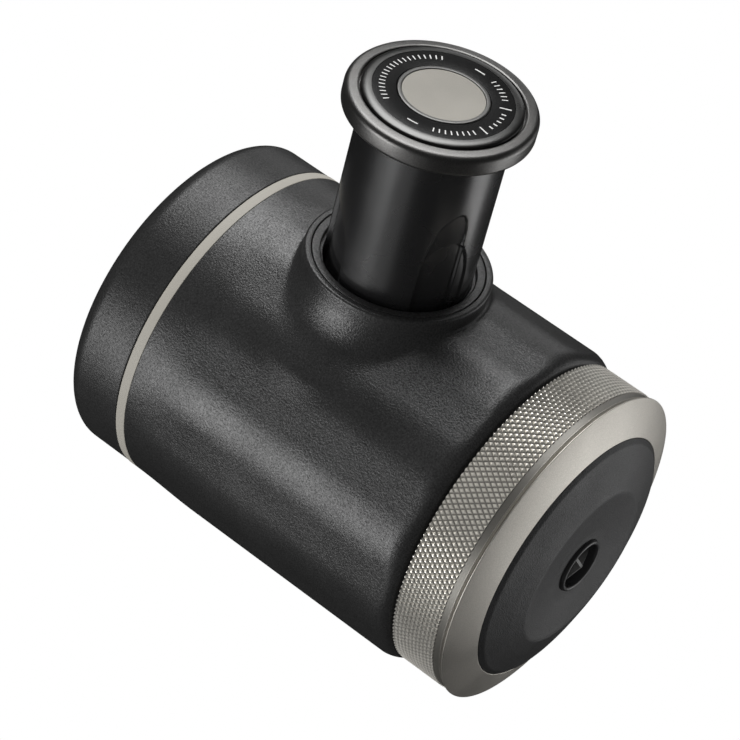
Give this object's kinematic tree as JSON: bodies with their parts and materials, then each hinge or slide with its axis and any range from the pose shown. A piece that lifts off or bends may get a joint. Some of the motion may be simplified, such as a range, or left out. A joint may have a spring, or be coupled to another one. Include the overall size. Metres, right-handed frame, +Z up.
{
  "type": "handheld manual espresso maker",
  "caption": "Pocket-size manual espresso maker: faceted body with water tank and screw lid, side pump piston that locks in, knurled portafilter, outlet cap with spout.",
  "frame": {"origin": "centre of the outlet cap's rest face, where the spout's web meets the table", "axes": "+Z up from the outlet cap to the tank lid; +X from the body's centre line along the piston, out of its head"},
  "size_m": [0.1145, 0.071, 0.106],
  "materials": {
    "body_plastic": "fine-textured satin",
    "lid_plastic": "fine-textured satin",
    "champagne_metal": "satin anodised",
    "blasted_metal": "bead-blasted",
    "knurled_metal": "diamond knurled",
    "disc_plastic": "matt",
    "spout_plastic": "satin",
    "gloss_black": "polished",
    "rim_metal": "satin anodised, dark grey",
    "badge_metal": "fine brushed",
    "steel": "satin",
    "spring_steel": "drawn wire",
    "inner_plastic": "moulded",
    "tank_plastic": "moulded",
    "guide_plastic": "natural acetal",
    "brass": "turned",
    "seal_rubber": "moulded",
    "seal_silicone": "moulded silicone"
  },
  "bodies": {
    "main": {"main_body": "body_plastic", "trim_ring": "champagne_metal", "tank_liner": "tank_plastic", "tank_grommet": "seal_silicone", "pump_housing": "inner_plastic", "guide_bushing": "body_plastic", "wiper_seal": "seal_rubber", "pump_cylinder": "guide_plastic", "pump_gland": "guide_plastic", "valve_manifold": "guide_plastic", "manifold_screws": "steel", "valve_seats": "brass", "valve_retainers": "brass", "inlet_spring": "spring_steel", "outlet_spring": "spring_steel", "return_spring": "spring_steel", "group_head": "inner_plastic", "group_gasket": "seal_silicone", "group_screws": "steel", "shower_plate": "steel", "shower_screw": "steel"},
    "plunger_unit": {"piston_rod": "steel", "plunger": "guide_plastic", "plunger_seal": "seal_rubber", "rod_screw": "steel"},
    "knob": {"piston_sleeve": "gloss_black", "head_rim": "rim_metal", "head_insert": "gloss_black", "head_badge": "badge_metal"},
    "inlet_valve": {"inlet_ball": "steel"},
    "outlet_valve": {"outlet_ball": "steel"},
    "lid_carrier": {"lid_seal": "seal_silicone"},
    "lid": {"lid_shell": "lid_plastic", "lid_liner": "inner_plastic", "lid_vent": "seal_silicone"},
    "basket": {"filter_basket": "steel"},
    "portafilter_carrier": {"portafilter_seal": "seal_rubber"},
    "portafilter": {"portafilter_ring": "knurled_metal"},
    "outlet_cap": {"cap_ring": "blasted_metal", "cap_disc": "disc_plastic", "outlet_spout": "spout_plastic", "cap_seal": "seal_rubber"}
  },
  "joints": [
    {"name": "piston_slide", "type": "slide", "parent": "main", "child": "plunger_unit", "axis": [1, 0, 0], "range_m": [-0.0346, 0], "stiffness_N_per_m": 250, "springref_m": 0.012, "deforming": ["return_spring"]},
    {"name": "knob_twist", "type": "hinge", "parent": "plunger_unit", "child": "knob", "pos_m": [0, 0, 0.05715], "axis": [1, 0, 0], "range_deg": [0, 34]},
    {"name": "inlet_valve_slide", "type": "slide", "parent": "main", "child": "inlet_valve", "axis": [0, 0, -1], "range_m": [0, 0.0012], "stiffness_N_per_m": 40, "springref_m": -0.002, "deforming": ["inlet_spring"]},
    {"name": "outlet_valve_slide", "type": "slide", "parent": "main", "child": "outlet_valve", "axis": [0, 0, -1], "range_m": [0, 0.0012], "stiffness_N_per_m": 40, "springref_m": -0.002, "deforming": ["outlet_spring"]},
    {"name": "lid_lift", "type": "slide", "parent": "main", "child": "lid_carrier", "axis": [0, 0, 1], "range_m": [0, 0.022]},
    {"name": "lid_turn", "type": "hinge", "parent": "lid_carrier", "child": "lid", "pos_m": [0, 0, 0], "axis": [0, 0, 1], "range_deg": [0, 120]},
    {"name": "basket_drop", "type": "slide", "parent": "main", "child": "basket", "axis": [0, 0, -1], "range_m": [0, 0.022]},
    {"name": "portafilter_drop", "type": "slide", "parent": "basket", "child": "portafilter_carrier", "axis": [0, 0, -1], "range_m": [0, 0.023]},
    {"name": "portafilter_turn", "type": "hinge", "parent": "portafilter_carrier", "child": "portafilter", "pos_m": [0, 0, 0], "axis": [0, 0, -1], "range_deg": [0, 90]},
    {"name": "cap_pull", "type": "slide", "parent": "portafilter", "child": "outlet_cap", "axis": [0, 0, -1], "range_m": [0, 0.012]}
  ]
}
